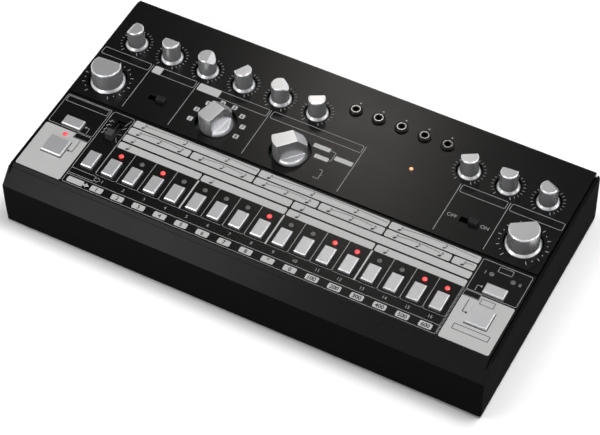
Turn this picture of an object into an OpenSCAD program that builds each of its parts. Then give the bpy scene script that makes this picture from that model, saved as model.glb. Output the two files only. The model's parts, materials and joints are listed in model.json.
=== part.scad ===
// Tabletop drum machine: a flat desk case with a row of step keys, a slightly
// raised control panel with knobs, and the boards and sockets inside it.
// X runs to the right, Y to the rear, Z up. The feet stand on Z = 0.

/* [Case] */
// Width of the case
case_w = 305; // [296:1:330]
// Depth of the case over the bow of its rear wall
case_d = 157.8; // [156:0.1:170]
// Height of the case from its underside to the key panel
case_h = 39.3; // [38.6:0.1:50]
// Thickness of the case walls
wall = 2.5; // [1.8:0.1:3]
// Radius of the upright corners
corner_r = 2; // [1:0.5:4]
// Depth of the bevel along the front edge
bevel_d = 10.7; // [9:0.1:12]
// Height of the bevel along the front edge
bevel_h = 10.5; // [9:0.1:12]
// How far the front face leans back between its foot and the bevel
front_lean = 1.8; // [0.5:0.1:3]
// How far the rear wall bows out between its edges
rear_bow = 2.6; // [1:0.1:4]
// Thickness of the bottom cover
cover_t = 2.2; // [1.8:0.1:3]
// Height of the rubber feet below the case
foot_h = 1.2; // [0.8:0.1:3]
// Radius of the rubber feet
foot_r = 6; // [4:0.5:9]

/* [Panels] */
// Thickness of the two top panels
panel_t = 2; // [1.6:0.1:2.4]
// Depth of the control panel behind the step
control_d = 81.4; // [80.5:0.1:82]
// Height of the step up to the control panel
step_h = 1.2; // [0.8:0.1:1.8]
// Gap between the panels and the rim of the case
side_gap = 1; // [0.4:0.1:1.2]
// Thickness of the rim beside that gap
rim_t = 1.2; // [1:0.1:1.4]
// Depth of that gap below the top of the rim
gap_depth = 3; // [2:0.1:3.4]

/* [Knobs] */
// Distance from the side of the case to the outer knob columns
col_side = 18.35; // [16:0.05:24]
// Height of every knob above the control panel
knob_rise = 12.4; // [10:0.1:16]
// How far the knobs dip into their holes
knob_sink = 2.1; // [1.7:0.1:2.4]
// Radius of the small knobs at the top
small_r = 5.1; // [4.8:0.1:5.6]
// Radius of the skirt of the small knobs
small_skirt_r = 6.8; // [6.2:0.1:7.4]
// Radius of the large knobs at the top
large_r = 8.85; // [8:0.05:9.5]
// Radius of the skirt of the large knobs
large_skirt_r = 10.5; // [9.8:0.1:11]
// Radius of the two selectors
selector_r = 10.2; // [9.5:0.1:11]
// Half the width of the grip bar on the selectors
bar_half = 4.7; // [4.2:0.1:5.2]
// Radius of the turning shafts
shaft_r = 3; // [2.5:0.1:3.2]

/* [Keys] */
// Distance from the left side of the case to the function key
key_left = 41.67; // [40:0.01:48]
// Distance from the right side of the case to the last step key
key_right = 42.21; // [40:0.01:48]
// Width of a step key
key_w = 7.2; // [6:0.1:8.4]
// Length of a step key
key_l = 12; // [10:0.1:12.5]
// Width of the start and tap keys
big_key_w = 13.3; // [12:0.1:14]
// Width of the clear and pattern group keys
flat_key_w = 12.5; // [11:0.1:13.5]
// Length of the clear and pattern group keys
flat_key_l = 6.9; // [6:0.1:7.4]
// Height of the keys above the key panel
key_rise = 2; // [1.4:0.1:3]
// Travel of the keys
key_travel = 0.8; // [0.4:0.1:1.2]
// Radius of the indicator lamps
lamp_r = 1.5; // [1:0.1:1.8]

/* [Switches] */
// Length of the sliders of the two way switches
slider_l = 5.4; // [4.5:0.1:6]
// Travel of the two way switches
slider_travel = 5.4; // [4:0.1:5.6]
// Distance between the stops of the four way switch
scale_pitch = 3.6; // [3:0.1:3.8]
// Height of the four way switch above the key panel
scale_rise = 5; // [3:0.1:7]

/* [Sockets] */
// Radius of the plug bore in every small socket
jack_bore_r = 1.8; // [1.75:0.05:2]
// Radius of the threaded neck of every small socket
jack_neck_r = 3; // [2.8:0.1:3.2]
// Radius of the round nuts
nut_r = 4.1; // [3.8:0.1:4.6]

/* [Hidden] */
$fn = 48;
STEPS = 16;
KNOB_COLS = 12;
TOP_JACKS = 5;
REAR_JACKS = 9;
SCALE_STOPS = 4;

// Fits and clearances
key_gap = 0.2;          // between a key and its hole
flange_out = 0.6;       // how far a key's flange reaches under the panel
flange_t = 1;
knob_gap = 0.95;        // between a knob skirt and its hole
selector_gap = 2.3;
run_gap = 0.05;         // radial clearance of every turning shaft
stem_gap = 0.1;         // radial clearance of every key stem
seat_gap = 0.02;        // between a shaft and the knob fixed on it
seat_bite = 0.4;        // how far a shaft is sunk into the end of its knob's bore
neck_gap = 0.1;         // around necks in panel and wall holes
slide_gap = 0.15;       // beside a slider in its channel
end_gap = 0.2;          // beyond a slider at each end of its slot
lamp_gap = 0.1;
cover_gap = 0.3;
step_gap = 0.2;
cut = 1;                // how far cuts run past the faces they open
far = 400;

// Case levels and lines
half_w = case_w / 2;
z_under = foot_h;
z_key = z_under + case_h;
z_ctl = z_key + step_h;
y_front = -case_d / 2;
y_back = case_d / 2;
y_face = y_front + front_lean;
z_face = z_key - bevel_h;
y_edge = y_face + bevel_d;
slope = bevel_h / bevel_d;
rim_drop = 0.3;
rim_top = z_key - rim_drop;
rear_r = (pow(case_h / 2, 2) + pow(rear_bow, 2)) / (2 * rear_bow);
rear_cy = y_back - rear_r;
rear_cz = z_under + case_h / 2;
panel_lip = 0.3;
panel_back = y_back - rear_bow + panel_lip;
y_step = panel_back - control_d;
panel_half = half_w - rim_t - side_gap;
key_seat = z_key - panel_t;
ctl_seat = z_ctl - panel_t;
foot_edge = 0.8;
groove = 0.4;

// Ledges that carry the panels
ledge_w = 2.5;
ledge_t = 2.5;
ledge_under = key_seat - ledge_t;
ledge_in = half_w - wall - ledge_w;
front_ledge = y_edge + 2.4;
rear_ledge = panel_back - 6;
shelf_front = 4;
shelf_back = 2;

// Board under the panels
board_drop = 10;
board_t = 1.6;
board_top = ctl_seat - board_drop;
board_under = board_top - board_t;
board_half = half_w - 9.5;
board_front = y_edge + 4.4;
board_back = panel_back - 5.6;

// Rows on the control panel
knob_row = panel_back - 31.15;
jack_row = panel_back - 20.1;
dial_row = y_step + 16.7;
switch_row = y_step + 16.3;
col_pitch = (case_w - 2 * col_side) / (KNOB_COLS - 1);
sync_lamp = [col_x(9) - 29.87, y_step + 36.4];
sync_lamp_r = 1;
jack_first = col_x(5) + 19.65;
jack_pitch = (col_x(9) - 18.92 - jack_first) / (TOP_JACKS - 1);
post_row = dial_row + 16.1;

// Rows on the key panel: what the keys and lamps leave free is shared out between them
big_key_l = key_l + 0.5;
row_room = y_step - y_edge - big_key_l - flat_key_l - 4 * lamp_r;
key_row = y_edge + 0.41 * row_room + big_key_l / 2;
lamp_row = key_row + big_key_l / 2 + 0.079 * row_room + lamp_r;
flat_row = lamp_row + lamp_r + 0.109 * row_room + flat_key_l / 2;
group_row = flat_row + flat_key_l / 2 + 0.16 * row_room + lamp_r;
key_pitch = (case_w - key_left - key_right) / STEPS;
side_key_x = half_w - 17.9;
group_lamp_out = 6.4;
scale_x = key_x(-1) + 0.53;
scale_row = y_step - 14.6;
scale_w = 4.4;
scale_l = 4.8;
scale_slot_w = 5;
scale_travel = scale_pitch * (SCALE_STOPS - 1);
scale_rest = scale_row - scale_travel / 2;
slider_w = 3.6;

// Parts on the board
pot_w = 9.8;
pot_l = 11.4;
pot_h = 6.8;
pot_neck_r = 3.4 + shaft_r - 3;
rotary_w = 21;
rotary_h = 8.3;
rotary_neck_r = 4.5;
neck_below = knob_sink + 0.3;
shaft_foot = 1.5;       // height of the shafts' ends above the board
bore_foot = 1.4;
shaft_in_knob = knob_rise + knob_sink - 3.6;
tact_w = 6.2;
tact_h = 3.6;
tact_collar_r = 2.2;
tact_collar_h = 0.7;
stem_r = 1.6;
stem_foot = 2.7;
tact_bore_foot = stem_foot - key_travel - 0.4;
stem_bore_r = stem_r + stem_gap;
slide_body = [14, 7, 8];
scale_body = [8, 19, 8];
slide_foot = 4.3;       // height of a slider's foot above the board
jack_body = [9, 10.5];
jack_bore_foot = 1;
neck_above = 1.8;       // how far the socket necks stand above the panel
nut_t = 1.5;

// Screws, posts and ears
screw_r = 1.35;
pilot_r = 1.4;
hole_r = 1.5;
head_r = 2.7;
head_h = 1.8;
cover_head_h = 1.2;
post_r = 2.6;
pilot_spare = 0.3;      // how far a pilot runs past the end of its screw
board_bite = 5;         // how far each kind of screw reaches into its post
ear_bite = 2.6;
cover_bite = 8;
rear_bite = 1.2;
ear_t = 2.5;
ear_top = board_top + 5;
ear_half = 4;
ear_x = half_w - 7.8;
ear_in = half_w - 11.6;
block_half = 3.6;
block_top = z_under + cover_t + cover_bite + 2.2;
block_x = half_w - 7.5;

// Rear board and sockets
cover_top = z_under + cover_t;
rear_post_h = 3.2;
rear_board_z = cover_top + rear_post_h;
rear_board_t = 1.6;
rear_top = rear_board_z + rear_board_t;
rear_board_back = y_back - 6.1;
rear_board_d = 31;
socket_face = y_back - 3.9;
nose_end = y_back - 0.7;
rear_jack_body = [8, 12, 8];
rear_jack_first = 44.5 - half_w;
power_x = half_w - 23.5;
dc_x = power_x - 17;
usb_x = dc_x - 22;
din_x = [usb_x - 52, usb_x - 26];
rear_pitch = (din_x[0] - 26 - rear_jack_first) / (REAR_JACKS - 1);
rear_board_l = rear_jack_first - 10;
rear_board_r = power_x + 9.5;
din_h = board_under - rear_top - 1.9;
din_w = 21;
din_l = 14;
din_nose_r = 7.7;
usb_body = [12, 16, 11];
usb_mouth = [8.5, 7.8];
usb_tongue = [5.6, 3.2];
dc_body = [9, 14, 11];
dc_nose_r = 4.2;
dc_bore_r = 3.2;
dc_pin_r = 1;
power_body = [12, 11, 10];
power_travel = 2;
power_cap_r = 4;
power_stem_r = 2;
power_cap_l = 6;
cable_w = 20;
cable_y = y_back - 29;
cable_plug = [20, 6, 5];
cable_t = 0.9;

function col_x(k) = (k - (KNOB_COLS - 1) / 2) * col_pitch;
function key_x(i) = key_left - half_w + (i + 1) * key_pitch;
function rear_wall(z, inset) = rear_cy + sqrt(pow(rear_r - inset, 2) - pow(z - rear_cz, 2));

// Knobs: name, column, row, large or small, direction of the flat in degrees
KNOBS = [
    ["accent_knob", 0, knob_row, false, 179],
    ["bass_drum_knob", 1, knob_row, false, 90],
    ["snare_knob", 2, knob_row, false, 6],
    ["tom_knob", 3, knob_row, false, 149],
    ["cymbal_knob", 4, knob_row, false, 29],
    ["hi_hat_knob", 5, knob_row, false, 118],
    ["distortion_knob", 9, knob_row, false, 119.5],
    ["tone_knob", 10, knob_row, false, 95],
    ["level_knob", 11, knob_row, false, 60],
    ["tempo_knob", 0, dial_row, true, 93],
    ["volume_knob", 11, dial_row, true, 122]
];

// Selectors: name, column, direction of the pointer in degrees
SELECTORS = [
    ["instrument_selector", 3, 75],
    ["mode_selector", 5, 45]
];

// Two way switches: name, place along the row, height of the slider above the panel
SWITCHES = [
    ["clap_switch", col_x(1) + 9.5, 2.7],
    ["distortion_switch", col_x(10) - 8.6, 2.7]
];

// Keys: name, centre, width, length
KEYS = concat(
    [for (i = [1 : STEPS]) [str("step_button_", i), [key_x(i - 1), key_row], key_w, key_l]],
    [
        ["function_button", [key_x(-1), key_row], key_w, key_l],
        ["start_stop_button", [-side_key_x, key_row], big_key_w, big_key_l],
        ["tap_button", [side_key_x, key_row], big_key_w, big_key_l],
        ["clear_button", [-side_key_x, flat_row], flat_key_w, flat_key_l],
        ["pattern_group_button", [side_key_x, flat_row], flat_key_w, flat_key_l]
    ]
);

STEP_LAMPS = [for (i = [0 : STEPS - 1]) [key_x(i), lamp_row]];
STATUS_LAMPS = [
    [-side_key_x - 0.35, lamp_row],
    [side_key_x - 0.55 - group_lamp_out, group_row],
    [side_key_x - 0.55 + group_lamp_out, group_row]
];

// Posts that hang the board from the panels
CTL_POSTS = concat(
    [for (k = [0, 3, 5.5, 9.5]) [col_x(k), panel_back - 9.1]],
    [for (k = [0.5, 3.5, 6.5, 10.5]) [col_x(k), post_row]]
);
KEY_POSTS = concat(
    [for (i = [0.5, 4.5, 9.5, 14.5]) [key_x(i), y_edge + 8]],
    [for (i = [3.5, 11.5]) [key_x(i), y_step - 15.6]]
);
EAR_ROWS = [y_edge + 7.5, group_row - 6.8];
CTL_EAR_ROWS = [post_row, panel_back - 11];
BLOCKS = concat(
    [for (x = [-block_x, -case_w / 6, case_w / 6, block_x]) [x, y_front + 8]],
    [for (x = [-block_x, block_x], y = [0, y_back - 11]) [x, y]]
);
REAR_POSTS = concat(
    [for (x = [rear_board_l + 5, din_x[0] - 18, rear_board_r - 5]) [x, rear_board_back - rear_board_d + 5]],
    [[din_x[1] + din_w / 2 + 4.75, rear_board_back - 5]]
);
FEET = [for (x = [-half_w + 18, half_w - 18], y = [y_front + 18, y_back - 22]) [x, y]];

CASE = "#232325";
PANEL = "#2b2a2a";
KNOB = "#6d6e70";
KEY = "#bfc0c2";
DARK = "#151516";
STEEL = "#b9bbbe";
BOARD = "#1f5a37";
RED = "#d8392f";
GREY = "#8d9092";
RUBBER = "#0f0f10";

// ---- helpers -------------------------------------------------------------

// A prism along X from a (Y, Z) outline
module along_x(length)
    translate([-length / 2, 0, 0])
        rotate([90, 0, 90])
            linear_extrude(length)
                children();

// A prism along Y from an (X, Z) outline
module along_y(y0, length)
    translate([0, y0 + length, 0])
        rotate([90, 0, 0])
            linear_extrude(length)
                children();

// A cylinder that points along Y
module rod_y(r, y0, y1)
    translate([0, y1, 0])
        rotate([90, 0, 0])
            cylinder(r = r, h = y1 - y0);

module at(points)
    for (p = points)
        translate([p[0], p[1], 0])
            children();

// A box standing on z0, centred in X and Y
module block(size, z0)
    translate([-size[0] / 2, -size[1] / 2, z0])
        cube([size[0], size[1], size[2]]);

// A box with rounded upright edges, centred in X and Y
module rounded_block(w, d, r, z0, z1) {
    block([w - 2 * r, d, z1 - z0], z0);
    block([w, d - 2 * r, z1 - z0], z0);
    for (x = [-1, 1], y = [-1, 1])
        translate([x * (w / 2 - r), y * (d / 2 - r), z0])
            cylinder(r = r, h = z1 - z0);
}

module bore(r, z0, z1)
    translate([0, 0, z0])
        cylinder(r = r, h = z1 - z0);

// ---- case ----------------------------------------------------------------

// Everything in front of the bowed rear face, moved in by inset
module rear_limit(inset) {
    translate([-far / 2, rear_cy, rear_cz])
        rotate([0, 90, 0])
            cylinder(r = rear_r - inset, h = far, $fn = 360);
    translate([-far / 2, rear_cy - far, -far / 2])
        cube([far, far, far]);
}

module outer_form()
    intersection() {
        along_x(case_w)
            polygon([
                [y_front + foot_edge, z_under], [y_front, z_under + foot_edge], [y_face, z_face],
                [y_edge - rim_drop / slope, rim_top], [y_back + cut, rim_top], [y_back + cut, z_under]
            ]);
        along_y(y_front - cut, case_d + 2 * cut)
            polygon(concat(
                [for (s = [[-1, 0], [-1, 1], [-1, 2], [-1, 3], [-1, 4]]) side_point(s)],
                [for (s = [[1, 4], [1, 3], [1, 2], [1, 1], [1, 0]]) side_point(s)]
            ));
        rear_limit(0);
        rounded_block(case_w, case_d, corner_r, 0, z_key);
    }

// Outline of the case's side from its foot to its rim, at one side and corner
function side_point(s) = [
    s[0] * (half_w - [foot_edge, 0, 0, rim_t / 2, rim_t][s[1]]),
    [z_under, z_under + foot_edge, z_key - 2.4, z_key - 0.6, rim_top][s[1]]
];

module inner_form() {
    bevel_wall = wall * sqrt(1 + slope * slope);
    intersection() {
        along_x(case_w - 2 * wall)
            polygon([
                [y_front + wall, 0], [y_front + wall, z_under],
                [y_face + wall, z_face + wall * slope - bevel_wall],
                [y_face + (ledge_under - z_face + bevel_wall) / slope, ledge_under],
                [front_ledge, ledge_under], [front_ledge, z_ctl], [y_back, z_ctl], [y_back, 0]
            ]);
        rear_limit(wall);
    }
}

// Ledges along both sides and the rear
module ledges()
    intersection() {
        outer_form();
        union() {
            for (s = [-1, 1])
                translate([s > 0 ? ledge_in : -half_w + cut, front_ledge - cut, ledge_under])
                    cube([half_w - cut - ledge_in, panel_back - front_ledge, z_ctl]);
            translate([-half_w + cut, rear_ledge, ledge_under])
                cube([case_w - 2 * cut, far, z_ctl]);
        }
    }

// Room that the two panels and the gap beside them take up
module panel_room() {
    room = 2 * (half_w - rim_t);
    translate([-room / 2, y_front, key_seat])
        cube([room, y_step - y_front, far]);
    translate([-room / 2, y_step - cut, ctl_seat])
        cube([room, far, far]);
    for (s = [-1, 1])
        translate([s * (half_w - rim_t - side_gap / 2), 0, 0])
            along_x(side_gap)
                polygon([
                    [y_edge - 5.2, z_key - 5.2 * slope], [y_edge - 0.5, rim_top - gap_depth],
                    [far, rim_top - gap_depth], [far, far], [y_edge - 5.2, far]
                ]);
}

// Fine groove along the outside of the rim
module rim_grooves()
    for (s = [-1, 1])
        translate([s * (half_w - rim_t / 2 + far / 2), 0, 0])
            along_x(far)
                polygon([
                    [y_edge - 5.5, z_key - 7], [y_edge - 0.5, z_key - 1.6],
                    [far, z_key - 1.6], [far, z_key - 1.6 + groove],
                    [y_edge - 0.7, z_key - 1.6 + groove], [y_edge - 5.8, z_key - 7 + groove]
                ]);

// Blocks at the foot of the walls that take the cover's screws
module cover_blocks()
    intersection() {
        outer_form();
        for (p = BLOCKS) {
            side = abs(p[0]) > half_w / 2 ? sign(p[0]) : 0;
            end = abs(p[1]) > case_d / 4 ? sign(p[1]) : 0;
            translate([p[0], p[1], 0]) {
                block([2 * block_half, 2 * block_half, block_top - cover_top], cover_top);
                translate([side * 3 * wall / 2, end * 3 * wall / 2, 0])
                    block([
                        2 * block_half + abs(side) * 3 * wall,
                        2 * block_half + abs(end) * 3 * wall,
                        block_top - cover_top
                    ], cover_top);
            }
        }
    }

// Ears on the side walls that the panels' screws pull against
module ears()
    for (s = [-1, 1], y = concat(EAR_ROWS, CTL_EAR_ROWS))
        translate([s > 0 ? ear_in : -half_w + cut, y - ear_half, ear_top - ear_t])
            cube([half_w - cut - ear_in, 2 * ear_half, ear_t]);

module rear_openings() {
    for (k = [0 : REAR_JACKS - 1])
        translate([rear_jack_first + k * rear_pitch, 0, rear_top + rear_jack_body[2] / 2])
            rod_y(jack_neck_r + neck_gap, socket_face - 2, y_back + cut);
    for (x = din_x)
        translate([x, 0, rear_top + din_h / 2])
            rod_y(din_nose_r + neck_gap, socket_face - 2, y_back + cut);
    translate([usb_x, y_back, 0])
        block([usb_body[0] + 0.5, 12, usb_body[2] + 0.5], rear_top - 0.25);
    translate([dc_x, 0, rear_top + dc_body[2] / 2])
        rod_y(dc_nose_r + neck_gap, socket_face - 2, y_back + cut);
    translate([power_x, 0, rear_top + power_body[2] / 2])
        rod_y(power_cap_r + 2 * neck_gap, socket_face - 2, y_back + cut);
}

module case_shell()
    color(CASE)
        difference() {
            union() {
                difference() {
                    outer_form();
                    inner_form();
                }
                ledges();
                cover_blocks();
                ears();
            }
            panel_room();
            rim_grooves();
            rear_openings();
            at(BLOCKS)
                bore(pilot_r, z_under, cover_top + cover_bite + pilot_spare);
            for (s = [-1, 1], y = concat(EAR_ROWS, CTL_EAR_ROWS))
                translate([s * ear_x, y, 0])
                    bore(hole_r, ear_top - ear_t - cut, ear_top + cut);
        }

// A post that hangs below a panel and takes a screw from below
module post(z0, z1, bite)
    difference() {
        bore(post_r, z0, z1 + panel_t / 4);
        bore(pilot_r, z0 - cut, z0 + bite + pilot_spare);
    }

// Shelf under the step that carries the rear edge of the key panel
module step_shelf()
    along_x(2 * (ledge_in - end_gap))
        polygon([
            [y_step - shelf_front, ledge_under], [y_step + shelf_back, ledge_under],
            [y_step + shelf_back, ctl_seat + panel_t / 4], [y_step, ctl_seat + panel_t / 4],
            [y_step, key_seat], [y_step - shelf_front, key_seat]
        ]);

module control_panel()
    color(PANEL) {
        difference() {
            translate([-panel_half, y_step, ctl_seat])
                cube([2 * panel_half, control_d, panel_t]);
            for (k = KNOBS)
                translate([col_x(k[1]), k[2], 0])
                    bore((k[3] ? large_skirt_r + 0.15 : small_skirt_r) + knob_gap, ctl_seat - cut, z_ctl + cut);
            for (s = SELECTORS)
                translate([col_x(s[1]), dial_row, 0])
                    bore(selector_r + selector_gap, ctl_seat - cut, z_ctl + cut);
            for (s = SWITCHES)
                translate([s[1], switch_row, 0])
                    block([slider_l + slider_travel + 2 * end_gap, slider_w + 2 * slide_gap, panel_t + 2 * cut],
                        ctl_seat - cut);
            for (k = [0 : TOP_JACKS - 1])
                translate([jack_first + k * jack_pitch, jack_row, 0])
                    bore(jack_neck_r + neck_gap, ctl_seat - cut, z_ctl + cut);
            at([sync_lamp])
                bore(sync_lamp_r + lamp_gap, ctl_seat - cut, z_ctl + cut);
        }
        step_shelf();
        at(CTL_POSTS)
            post(board_top, ctl_seat, board_bite);
        at([for (s = [-1, 1], y = CTL_EAR_ROWS) [s * ear_x, y]])
            post(ear_top, ctl_seat, ear_bite);
    }

module key_panel()
    color(PANEL) {
        difference() {
            along_x(2 * panel_half)
                polygon([
                    [y_edge, z_key], [y_edge - panel_t / slope, key_seat],
                    [y_step - step_gap, key_seat], [y_step - step_gap, z_key]
                ]);
            for (k = KEYS)
                at([k[1]])
                    block([k[2] + 2 * key_gap, k[3] + 2 * key_gap, panel_t + 2 * cut], key_seat - cut);
            at(concat(STEP_LAMPS, STATUS_LAMPS))
                bore(lamp_r + lamp_gap, key_seat - cut, z_key + cut);
            at([[scale_x, scale_row]])
                block([scale_slot_w, scale_l + scale_travel + 4 * end_gap, panel_t + 2 * cut], key_seat - cut);
        }
        at(KEY_POSTS)
            post(board_top, key_seat, board_bite);
        at([for (s = [-1, 1], y = EAR_ROWS) [s * ear_x, y]])
            post(ear_top, key_seat, ear_bite);
    }

module bottom_cover()
    color(CASE)
        difference() {
            union() {
                front = y_front + wall + front_lean * cover_t / (z_face - z_under) + cover_gap;
                back = rear_wall(z_under, wall) - cover_gap;
                half = half_w - wall - cover_gap;
                translate([-half, front, z_under])
                    cube([2 * half, back - front, cover_t]);
                at(REAR_POSTS)
                    bore(post_r + 0.4, cover_top - cut, rear_board_z);
            }
            at(REAR_POSTS)
                bore(pilot_r, z_under + 0.8, rear_board_z + cut);
            at(BLOCKS) {
                bore(hole_r, z_under - cut, cover_top + cut);
                bore(head_r + 0.3, z_under - cut, z_under + cover_head_h + 0.1);
            }
            at(FEET)
                bore(foot_r + 0.2, z_under - cut, z_under + 0.5);
        }

module rubber_feet()
    color(RUBBER)
        at(FEET)
            rotate_extrude()
                polygon([[0, 0], [foot_r - 0.4, 0], [foot_r, 0.4], [foot_r, z_under + 0.5], [0, z_under + 0.5]]);

// A pan head screw whose head rests on z0; up points its shank
module screw(z0, length, up, head)
    translate([0, 0, z0])
        mirror([0, 0, up ? 0 : 1]) {
            bore(screw_r, -head / 2, length);
            bore(head_r, -head, 0);
        }

module screws()
    color(STEEL) {
        at(BLOCKS)
            screw(z_under + cover_head_h + 0.1, cover_t - cover_head_h - 0.1 + cover_bite, true, cover_head_h);
        at([for (s = [-1, 1], y = concat(EAR_ROWS, CTL_EAR_ROWS)) [s * ear_x, y]])
            screw(ear_top - ear_t, ear_t + ear_bite, true, head_h);
        at(concat(CTL_POSTS, KEY_POSTS))
            screw(board_under, board_t + board_bite, true, head_h);
        at(REAR_POSTS)
            screw(rear_top, rear_board_t + rear_post_h + rear_bite, false, head_h);
    }

// ---- panel board and what it carries ---------------------------------------

module panel_board()
    color(BOARD)
        difference() {
            translate([-board_half, board_front, board_under])
                cube([2 * board_half, board_back - board_front, board_t]);
            at(concat(CTL_POSTS, KEY_POSTS))
                bore(hole_r, board_under - cut, board_top + cut);
        }

module key_switches()
    color(DARK)
        at([for (k = KEYS) k[1]])
            difference() {
                union() {
                    block([tact_w, tact_w, tact_h], board_top);
                    bore(tact_collar_r, board_top + tact_h - 0.1, board_top + tact_h + tact_collar_h);
                }
                bore(stem_bore_r, board_top + tact_bore_foot, board_top + tact_h + cut);
            }

// A turned part on the board with a blind bore for the shaft
module shaft_carrier(size, neck_r)
    difference() {
        union() {
            block(size, board_top);
            bore(neck_r, board_top + size[2] - 0.1, z_ctl - neck_below);
        }
        bore(shaft_r + run_gap, board_top + bore_foot, z_ctl);
    }

module potentiometers()
    color(DARK)
        for (k = KNOBS)
            translate([col_x(k[1]), k[2], 0])
                shaft_carrier([pot_w, pot_l, pot_h], pot_neck_r);

module rotary_switches()
    color(DARK)
        for (s = SELECTORS)
            translate([col_x(s[1]), dial_row, 0])
                shaft_carrier([rotary_w, rotary_w, rotary_h], rotary_neck_r);

// A switch housing with an open channel for its slider
module slide_housing(size, channel)
    difference() {
        block(size, board_top);
        block([channel[0], channel[1], size[2]], board_top + slide_foot - 0.1);
    }

module slide_switch_bodies()
    color(DARK) {
        for (s = SWITCHES)
            translate([s[1], switch_row, 0])
                slide_housing(slide_body, [slider_l + slider_travel, slider_w]);
        translate([scale_x, scale_row, 0])
            slide_housing(scale_body, [scale_w - 0.7, scale_l + scale_travel]);
    }

module top_sockets()
    color(DARK)
        for (k = [0 : TOP_JACKS - 1])
            translate([jack_first + k * jack_pitch, jack_row, 0])
                difference() {
                    union() {
                        block([jack_body[0], jack_body[1], board_drop], board_top);
                        bore(jack_neck_r, ctl_seat - cut, z_ctl + neck_above);
                    }
                    bore(jack_bore_r, board_top + jack_bore_foot, z_ctl + neck_above + cut);
                }

module socket_nuts()
    color(DARK)
        for (k = [0 : TOP_JACKS - 1])
            translate([jack_first + k * jack_pitch, jack_row, z_ctl])
                rotate_extrude()
                    polygon([
                        [jack_neck_r + seat_gap, 0], [nut_r, 0], [nut_r, nut_t - 0.5],
                        [nut_r - 0.5, nut_t], [jack_neck_r + seat_gap, nut_t]
                    ]);

// A lamp that stands on the board, with a dome above the panel
module lamp(r, panel_top)
    {
        bore(r + 0.4, board_top, board_top + 4);
        bore(r, board_top + 4 - cut, panel_top - r + 0.5);
        translate([0, 0, panel_top - r + 0.5])
            sphere(r = r);
    }

module step_lamps()
    color(RED)
        at(STEP_LAMPS)
            lamp(lamp_r, z_key);

module status_lamps()
    color(RED) {
        at(STATUS_LAMPS)
            lamp(lamp_r, z_key);
        at([sync_lamp])
            lamp(sync_lamp_r, z_ctl);
    }

// ---- rear board and what it carries ----------------------------------------

module rear_board()
    color(BOARD)
        difference() {
            translate([rear_board_l, rear_board_back - rear_board_d, rear_board_z])
                cube([rear_board_r - rear_board_l, rear_board_d, rear_board_t]);
            at(REAR_POSTS)
                bore(hole_r, rear_board_z - cut, rear_top + cut);
        }

// A box on the rear board whose back face lies on y1
module rear_body(size, y1)
    translate([0, y1 - size[1] / 2, 0])
        block(size, rear_top);

module rear_sockets()
    color(DARK)
        for (k = [0 : REAR_JACKS - 1])
            translate([rear_jack_first + k * rear_pitch, 0, 0])
                difference() {
                    union() {
                        rear_body(rear_jack_body, socket_face);
                        translate([0, 0, rear_top + rear_jack_body[2] / 2])
                            rod_y(jack_neck_r, socket_face - cut, nose_end);
                    }
                    translate([0, 0, rear_top + rear_jack_body[2] / 2])
                        rod_y(jack_bore_r, nose_end - 13, nose_end + cut);
                }

module five_pin_sockets()
    color(DARK)
        for (x = din_x)
            translate([x, 0, 0])
                difference() {
                    union() {
                        rear_body([din_w, din_l, din_h], socket_face);
                        translate([0, 0, rear_top + din_h / 2])
                            rod_y(din_nose_r, socket_face - cut, nose_end);
                    }
                    translate([0, 0, rear_top + din_h / 2]) {
                        difference() {
                            rod_y(7.2, nose_end - 7, nose_end + cut);
                            rod_y(6.6, nose_end - 8, nose_end + 2 * cut);
                        }
                        for (a = [0 : 45 : 180])
                            translate([4.4 * cos(a), 0, 4.4 * sin(a)])
                                rod_y(0.75, nose_end - 7, nose_end + cut);
                    }
                }

module usb_socket()
    color(STEEL)
        translate([usb_x, 0, 0]) {
            mouth_z = rear_top + (usb_body[2] - usb_mouth[1]) / 2;
            tongue_z = rear_top + (usb_body[2] - usb_tongue[1]) / 2;
            difference() {
                rear_body(usb_body, nose_end);
                translate([0, nose_end - 4, 0])
                    block([usb_mouth[0], 10, usb_mouth[1]], mouth_z);
            }
            translate([0, nose_end - 5.5, 0])
                block([usb_tongue[0], 8, usb_tongue[1]], tongue_z);
        }

module power_inlet()
    color(DARK)
        translate([dc_x, 0, 0]) {
            difference() {
                union() {
                    rear_body(dc_body, socket_face);
                    translate([0, 0, rear_top + dc_body[2] / 2])
                        rod_y(dc_nose_r, socket_face - cut, nose_end);
                }
                translate([0, 0, rear_top + dc_body[2] / 2])
                    rod_y(dc_bore_r, nose_end - 9.5, nose_end + cut);
            }
            translate([0, 0, rear_top + dc_body[2] / 2])
                rod_y(dc_pin_r, nose_end - 10, nose_end - 1);
        }

module power_switch_body()
    color(DARK)
        translate([power_x, 0, 0])
            difference() {
                rear_body(power_body, socket_face - power_cap_l);
                translate([0, 0, rear_top + power_body[2] / 2])
                    rod_y(power_stem_r + run_gap, socket_face - power_cap_l - 8, socket_face);
            }

module ribbon_cable()
    color(GREY)
        translate([0, cable_y, 0]) {
            block(cable_plug, rear_top);
            block(cable_plug, board_under - cable_plug[2]);
            block([cable_w - 2, cable_t, board_under - rear_top - cable_plug[2]], rear_top + cable_plug[2] / 2);
        }

// ---- moving parts ------------------------------------------------------------

// Cuts the slanted flat that shows where a knob points
module facet(start, tilt)
    translate([start, 0, knob_rise + knob_sink])
        rotate([0, tilt, 0])
            translate([0, -far / 2, 0])
                cube([far / 4, far, far / 4]);

module shaft()
    bore(shaft_r, board_top + shaft_foot - z_ctl + knob_sink, shaft_in_knob + seat_bite);

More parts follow.
